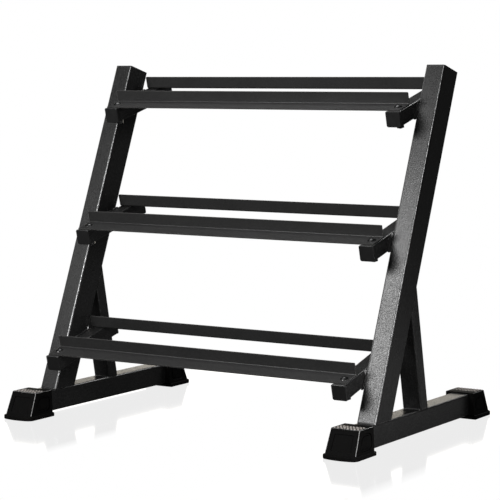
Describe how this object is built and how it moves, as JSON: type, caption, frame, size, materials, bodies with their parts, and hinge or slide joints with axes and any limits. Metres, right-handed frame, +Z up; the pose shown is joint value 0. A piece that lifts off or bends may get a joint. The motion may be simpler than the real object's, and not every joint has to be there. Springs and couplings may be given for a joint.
{
  "type": "dumbbell rack",
  "caption": "Free-standing dumbbell rack: two leaning side frames of steel tube joined by angle rails in three sloping tiers, on rubber feet.",
  "frame": {"origin": "on the floor, midway between the side frames and midway between the fronts of the front feet and the backs of the rear feet", "axes": "+X to the rack's right as seen from the front, along the rails; +Y to the rear; +Z up"},
  "size_m": [1.022, 0.728, 0.8892],
  "materials": {
    "frame_paint": "black textured powder coat with fine sparkle",
    "rail_paint": "black powder coat, satin, thinner on the bends",
    "black_steel": "black oxide steel, satin",
    "black_plastic": "moulded black plastic, fine grain",
    "foot_rubber": "moulded black rubber, satin"
  },
  "bodies": {
    "root": {"left_base_tube": "frame_paint", "left_upright": "frame_paint", "left_upright_cap": "black_plastic", "left_rear_brace": "frame_paint", "left_bottom_arm": "frame_paint", "left_bottom_arm_plate": "frame_paint", "left_bottom_front_plug": "black_plastic", "left_bottom_rear_plug": "black_plastic", "left_middle_arm": "frame_paint", "left_middle_arm_plate": "frame_paint", "left_middle_front_plug": "black_plastic", "left_middle_rear_plug": "black_plastic", "left_top_arm": "frame_paint", "left_top_arm_plate": "frame_paint", "left_top_front_plug": "black_plastic", "left_top_rear_plug": "black_plastic", "left_front_foot": "foot_rubber", "left_rear_foot": "foot_rubber", "right_base_tube": "frame_paint", "right_upright": "frame_paint", "right_upright_cap": "black_plastic", "right_rear_brace": "frame_paint", "right_bottom_arm": "frame_paint", "right_bottom_arm_plate": "frame_paint", "right_bottom_front_plug": "black_plastic", "right_bottom_rear_plug": "black_plastic", "right_middle_arm": "frame_paint", "right_middle_arm_plate": "frame_paint", "right_middle_front_plug": "black_plastic", "right_middle_rear_plug": "black_plastic", "right_top_arm": "frame_paint", "right_top_arm_plate": "frame_paint", "right_top_front_plug": "black_plastic", "right_top_rear_plug": "black_plastic", "right_front_foot": "foot_rubber", "right_rear_foot": "foot_rubber", "bottom_front_rail": "rail_paint", "bottom_rear_rail": "rail_paint", "bottom_bolts": "black_steel", "bottom_washers": "black_steel", "bottom_nuts": "black_steel", "middle_front_rail": "rail_paint", "middle_rear_rail": "rail_paint", "middle_bolts": "black_steel", "middle_washers": "black_steel", "middle_nuts": "black_steel", "top_front_rail": "rail_paint", "top_rear_rail": "rail_paint", "top_bolts": "black_steel", "top_washers": "black_steel", "top_nuts": "black_steel"}
  },
  "joints": []
}
